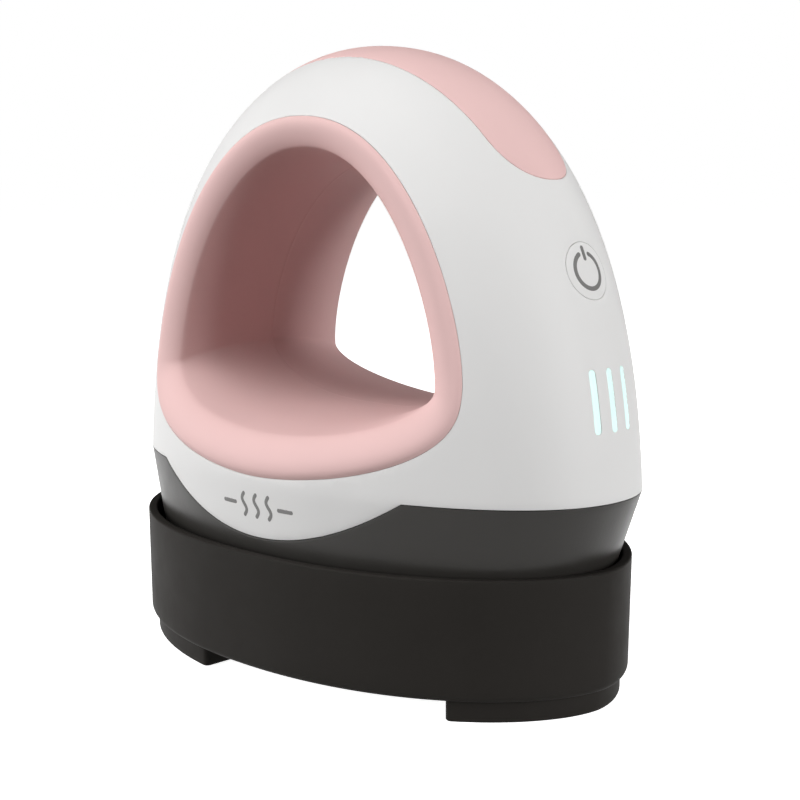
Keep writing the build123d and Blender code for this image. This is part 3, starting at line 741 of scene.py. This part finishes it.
def build_liner():
    """Two mirrored halves, each a closed solid with the rolled lip."""
    front = liner_rows()
    along = np.gradient(front, axis=0)
    around = np.roll(front, -1, axis=1) - np.roll(front, 1, axis=1)
    normals = unit(np.cross(around, along))
    toward = np.array([0, -20, TUNNEL_Z]) - front
    if np.mean(np.sum(normals * toward, -1)) < 0:
        normals = -normals
    # the hidden back needs only the first ring, every third one and the last
    keep = [0] + list(range(4, len(front) - 3, 3)) + [len(front) - 1]
    back = (front - normals * LINER_WALL)[keep]
    back[-1, :, 1] = front[-1, :, 1]
    rings = np.concatenate([front, back[::-1]])
    verts = rings.reshape(-1, 3)
    faces = grid_faces(len(rings), LINER_POINTS, wrap_rows=True)
    for node, side in (("liner_left", 1), ("liner_right", -1)):
        quads = faces if side == 1 else [face[::-1] for face in faces]
        half = make_object(node + "_moulding", verts * (1, side, 1), quads,
                           "press", MATERIALS["liner"])
        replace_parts(half, node)


# ---- Lower housing -------------------------------------------------------------------------------
def build_housing():
    """Dark moulding below the shell, open underneath."""
    turns = np.linspace(0, 2 * math.pi, RING_POINTS, endpoint=False)
    top = np.full(turns.shape, SPLIT)
    for _ in range(SETTLE_ROUNDS):
        top = split_height(on_ring(turns, top)[:, 0]) - SEAM
    rows = [on_ring(turns, top - g, drop) for g, drop in round_edge(SOFT_EDGE)]
    for s in np.linspace(0, 1, 12)[1:]:
        rows.append(on_ring(turns, (top - 0.2) * (1 - s) + HOUSING_KNEE * s))
    rows += [on_ring(turns, z) for z in HOUSING_RINGS]
    rows += [on_ring(turns, HOUSING_LOW + height, inset) for inset, height in HOUSING_EDGE]
    rows += [on_ring(turns, HOUSING_LOW, inset) for inset in HOUSING_UNDERSIDE]
    rows += [on_ring(turns, z, WALL) for z in HOUSING_INNER_RINGS]
    rows += [on_ring(turns, (top - 1.0) * s + HOUSING_KNEE * (1 - s), WALL) for s in (0.5, 1.0)]
    rows.append(on_ring(turns, top, WALL))
    housing = make_object("housing_moulding", np.concatenate(rows),
                          grid_faces(len(rows), RING_POINTS, wrap_rows=True),
                          "press", MATERIALS["housing"])
    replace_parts(housing, "lower_housing")


# ---- Button, symbol, lights and side mark --------------------------------------------------------
def patch_object(name, outline_at, lift, wall, spacing, radius, body, slot, proud=0.0):
    """Closed solid over one outline; outline_at(g) gives it moved inward by g."""
    flat = Flat()
    for k, (g, drop) in enumerate(round_edge(radius)):
        ids = flat.add(outline_at(g), drop)
        if k == 0:
            flat.border(ids)
    flat.fill(spacing)

    def raised(points):
        surface, normals = lift(points)
        return surface + normals * proud, normals

    verts, faces = skin(flat, raised, wall)
    return make_object(name, verts, faces, body, MATERIALS[slot])


def lift_button(flat):
    start = BUTTON_AT + flat[:, :1] * BUTTON_SIDE + flat[:, 1:] * BUTTON_UP
    points = slide_to_surface(start, BUTTON_OUT)
    return points, np.broadcast_to(BUTTON_OUT, points.shape)


def lift_nose(flat):
    points = on_nose(flat[:, 0], flat[:, 1])
    return points, outward(points)


def lift_side(flat):
    points = np.stack([flat[:, 0], -y_surface(flat[:, 0], flat[:, 1]), flat[:, 1]], -1)
    return points, outward(points)


def circle(radius, count):
    turns = np.linspace(0, 2 * math.pi, count, endpoint=False)
    return np.stack([radius * np.cos(turns), radius * np.sin(turns)], -1)


def stroke(middle, half):
    """Outline of a pen line with round ends along a list of points."""
    middle = np.asarray(middle, float)
    run = unit(np.gradient(middle, axis=0))
    side = np.stack([-run[:, 1], run[:, 0]], -1)
    arc = np.linspace(0, math.pi, 9)[1:-1, None]
    end_cap = middle[-1] + half * (side[-1] * np.cos(arc) + run[-1] * np.sin(arc))
    start_cap = middle[0] + half * (-side[0] * np.cos(arc) - run[0] * np.sin(arc))
    return np.concatenate([middle + side * half, end_cap, (middle - side * half)[::-1], start_cap])


def join(name, pieces):
    bpy.ops.object.select_all(action="DESELECT")
    for piece in pieces:
        piece.select_set(True)
    bpy.context.view_layer.objects.active = pieces[0]
    bpy.ops.object.join()
    pieces[0].name = name
    return pieces[0]
def printed(name, lines, half, spacing, lift, body):
    """The pieces of a printed mark that is made of pen lines."""
    return [
        patch_object(f"{name}_{k}", lambda g, line=line: stroke(line, half - g), lift, PRINT_WALL,
                     spacing, PRINT_EDGE, body, "mark", proud=PRINT_PROUD)
        for k, line in enumerate(lines)
    ]


def build_button():
    """Button cap, and the printed power symbol on it."""
    cap = patch_object("button_cap", lambda g: circle(BUTTON_R - g, 72), lift_button,
                       wall=3.0, spacing=0.7, radius=SOFT_EDGE, body="button", slot="shell")
    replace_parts(cap, "power_button")
    turns = np.linspace(math.pi / 2 + MARK_GAP, 2.5 * math.pi - MARK_GAP, 60)
    ring = np.stack([MARK_R * np.cos(turns), MARK_R * np.sin(turns)], -1)
    tick = np.stack([np.zeros(8), np.linspace(*MARK_TICK, 8)], -1)
    parts = printed("symbol", (ring, tick), MARK_STROKE / 2, 0.3, lift_button, "button")
    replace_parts(join("power_symbol", parts), "button_mark")


def build_lights():
    """Three lit bars, flush in the nose."""
    bars = [
        patch_object(f"bar_{k}", lambda g, y=y: np.stack(slot_outline(y, LIGHT_HALF - g), -1), lift_nose,
                     wall=2.2, spacing=0.45, radius=0.1, body="press", slot="light_guide")
        for k, y in enumerate((-LIGHT_Y, 0.0, LIGHT_Y))
    ]
    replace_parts(join("light_bars", bars), "light_guide")


def build_side_mark():
    """Plain heat symbol on the near apron: three wavy lines between two dashes."""
    z = np.linspace(*WAVES_Z, 24)
    sway = WAVE_SWAY * np.sin((z - z[0]) / (z[-1] - z[0]) * 2 * math.pi)
    lines = [np.stack([x + sway, z], -1) for x in WAVES_X]
    for x in DASHES_X:
        lines.append(np.stack([np.linspace(x, x + DASH_LENGTH, 8), np.full(8, DASH_Z)], -1))
    join("side_mark", printed("mark", lines, SIDE_STROKE / 2, 0.35, lift_side, "press"))


# ---- Safety base ---------------------------------------------------------------------------------
def tray_level(turns, inset, z, scale=1.0):
    """Ring inside the tray's outline by an inset, shrunk by a scale."""
    x, y = oval(turns, scale * (TRAY_X - inset), scale * (TRAY_Y - inset), TRAY_POWERS)
    return np.stack([TRAY_MIDDLE + x, y, np.full(turns.shape, z)], -1)


def build_tray():
    """Open tray with a soft rim and a rounded lower edge."""
    turns = np.linspace(0, 2 * math.pi, RING_POINTS, endpoint=False)
    low, high = TRAY_LOW[2], TRAY_HIGH[2]
    floor = low + TRAY_FLOOR
    side_low, side_high = low + TRAY_LOWER_EDGE, high - TRAY_RIM_EDGE
    inner_low = floor + TRAY_FLOOR_EDGE
    inner_inset = TRAY_WALL + TRAY_DRAFT
    scales = (0.3, 0.65, 0.9)
    quarter = [(1 - math.sin(a), 1 - math.cos(a)) for a in np.linspace(0, math.pi / 2, 7)]
    # (inset, height) of each ring: lower edge, side, rim, inside and the floor's edge
    rings = [(TRAY_DRAFT + TRAY_LOWER_EDGE * p, low + TRAY_LOWER_EDGE * q) for p, q in quarter]
    rings += [(TRAY_DRAFT * (1 - s), side_low + (side_high - side_low) * s)
              for s in np.linspace(0, 1, 8)[1:]]
    rings += [(TRAY_RIM_EDGE * q, high - TRAY_RIM_EDGE * p) for p, q in quarter[1:]]
    rings += [(TRAY_WALL - TRAY_RIM_EDGE * p, high - TRAY_RIM_EDGE * q) for p, q in quarter]
    rings += [(TRAY_WALL + TRAY_DRAFT * s, side_high + (inner_low - side_high) * s)
              for s in (0.33, 0.66, 1.0)]
    rings += [(inner_inset + TRAY_FLOOR_EDGE * q, floor + TRAY_FLOOR_EDGE * p) for p, q in quarter[1:]]
    rows = [tray_level(turns, TRAY_DRAFT + TRAY_LOWER_EDGE, low, scale) for scale in scales]
    rows += [tray_level(turns, inset, z) for inset, z in rings]
    rows += [tray_level(turns, inner_inset + TRAY_FLOOR_EDGE, floor, scale) for scale in scales[::-1]]
    count, last = len(turns), (len(rows) - 1) * len(turns)
    verts = np.concatenate(rows + [np.array([(TRAY_MIDDLE, 0, low), (TRAY_MIDDLE, 0, floor)])])
    faces = grid_faces(len(rows), count)
    for j in range(count):
        faces.append((len(rows) * count, (j + 1) % count, j))
        faces.append((len(rows) * count + 1, last + j, last + (j + 1) % count))
    tray = make_object("tray_moulding", verts, faces, "base", MATERIALS["tray"], sharp=60)
    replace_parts(tray, "base_tray")


def build_foot(node):
    """Foot that follows the tray's outline and is cut square across the body, with rounded corners."""
    low, high = cad_box(node)
    side = -1 if node == "rear_foot" else 1
    cut = side * ((high[0] if side < 0 else low[0]) - TRAY_MIDDLE)

    def ring(inset, z):
        half_x, half_y = TRAY_X - FOOT_INSET - inset, TRAY_Y - FOOT_INSET - inset
        radius = FOOT_CORNER - inset / 2
        plane = cut + inset
        along = abs((plane + radius) / half_x) ** (TRAY_POWERS[0] / 2)
        turn = math.atan2(math.sqrt(1 - along ** 2), along * (1 if plane + radius > 0 else -1))
        x, y = oval(np.linspace(-turn, turn, 90), half_x, half_y, TRAY_POWERS)
        bend = np.linspace(0, math.pi / 2, 7)[1:]
        bend_x = plane + radius * (1 - np.sin(bend))
        bend_y = y[-1] - radius * (1 - np.cos(bend))
        straight = np.linspace(bend_y[-1], -bend_y[-1], 30)[1:-1]
        x = np.concatenate([x, bend_x, np.full(len(straight), plane), bend_x[::-1]])
        y = np.concatenate([y, bend_y, straight, -bend_y[::-1]])
        return np.stack([TRAY_MIDDLE + side * x, side * y, np.full(x.shape, z)], -1)

    rows = [ring(0, z) for z in (high[2], *FOOT_RINGS)]
    rows += [ring(inset, z) for inset, z in round_edge(FOOT_EDGE, 5)]
    count = len(rows[0])
    faces = grid_faces(len(rows), count, flip=True)
    faces += [tuple(range(count)), tuple(reversed(range((len(rows) - 1) * count, len(rows) * count)))]
    foot = make_object(node + "_moulding", np.concatenate(rows), faces,
                       "base", MATERIALS["tray"])
    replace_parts(foot, node)


# ---- Everything ----------------------------------------------------------------------------------
def paint_cad_nodes():
    """Gives every carried-over CAD node the material of its slot."""
    slots = {part["node"]: part["material_slot"] for part in frame["record"]["subparts"]}
    for name, node in frame["nodes"].items():
        node.data.materials.clear()
        node.data.materials.append(MATERIALS[slots[name]])
        node.data.polygons.foreach_set("material_index", [0] * len(node.data.polygons))
def add_area_light(name, place, size, power):
    light = bpy.data.lights.new(name, "AREA")
    light.shape = "RECTANGLE"
    light.size, light.size_y = size
    light.energy = power
    obj = bpy.data.objects.new(name, light)
    obj.location = place
    obj.rotation_euler = (Vector(LIGHT_TARGET) - Vector(place)).to_track_quat("-Z", "Y").to_euler()
    obj.visible_camera = False
    bpy.context.scene.collection.objects.link(obj)


def build_stage():
    """Pale floor and soft studio light."""
    mesh = bpy.data.meshes.new("floor")
    mesh.from_pydata([(-40, -40, 0), (40, -40, 0), (40, 40, 0), (-40, 40, 0)], [], [(0, 1, 2, 3)])
    floor = bpy.data.objects.new("floor", mesh)
    bpy.context.scene.collection.objects.link(floor)
    floor.visible_diffuse = False
    material, tree, shader, place = node_material("floor_white")
    tone = blend_colors(tree, noise(tree, place, 3, 2), *([grey] * 3 for grey in FLOOR_TONES))
    tree.links.new(tone, shader.inputs["Base Color"])
    shader.inputs["Roughness"].default_value = 0.9
    shader.inputs["Specular IOR Level"].default_value = 0.0
    shader.inputs["Emission Color"].default_value = (1, 1, 1, 1)
    shader.inputs["Emission Strength"].default_value = 1 - FLOOR_TONES[0] * AMBIENT
    mesh.materials.append(material)

    world = bpy.data.worlds.new("studio")
    world.use_nodes = True
    tree = world.node_tree
    background = tree.nodes["Background"]
    background.inputs["Color"].default_value = (1, 1, 1, 1)
    path = tree.nodes.new("ShaderNodeLightPath")
    level = tree.nodes.new("ShaderNodeMapRange")
    level.inputs["To Min"].default_value = AMBIENT
    level.inputs["To Max"].default_value = 1.0
    tree.links.new(path.outputs["Is Camera Ray"], level.inputs["Value"])
    tree.links.new(level.outputs["Result"], background.inputs["Strength"])
    bpy.context.scene.world = world
    for light in AREA_LIGHTS:
        add_area_light(*light)
    bpy.context.scene.view_settings.view_transform = "Standard"


def build_camera():
    camera = bpy.data.cameras.new("camera")
    obj = bpy.data.objects.new("camera", camera)
    bpy.context.scene.collection.objects.link(obj)
    flat = math.cos(CAMERA_HEIGHT)
    back = Vector((math.sin(CAMERA_AZIMUTH) * flat, -math.cos(CAMERA_AZIMUTH) * flat,
                   math.sin(CAMERA_HEIGHT)))
    obj.location = Vector(CAMERA_TARGET) + back * CAMERA_DISTANCE
    obj.rotation_euler = back.to_track_quat("Z", "Y").to_euler()
    camera.sensor_width = CAMERA_SENSOR
    camera.lens = CAMERA_LENS
    camera.shift_x, camera.shift_y = CAMERA_SHIFT
    camera.clip_start = 0.01
    bpy.context.scene.camera = obj


paint_cad_nodes()
build_shell()
build_cover()
build_liner()
build_housing()
build_button()
build_lights()
build_side_mark()
build_tray()
build_foot("rear_foot")
build_foot("front_foot")
build_stage()
build_camera()
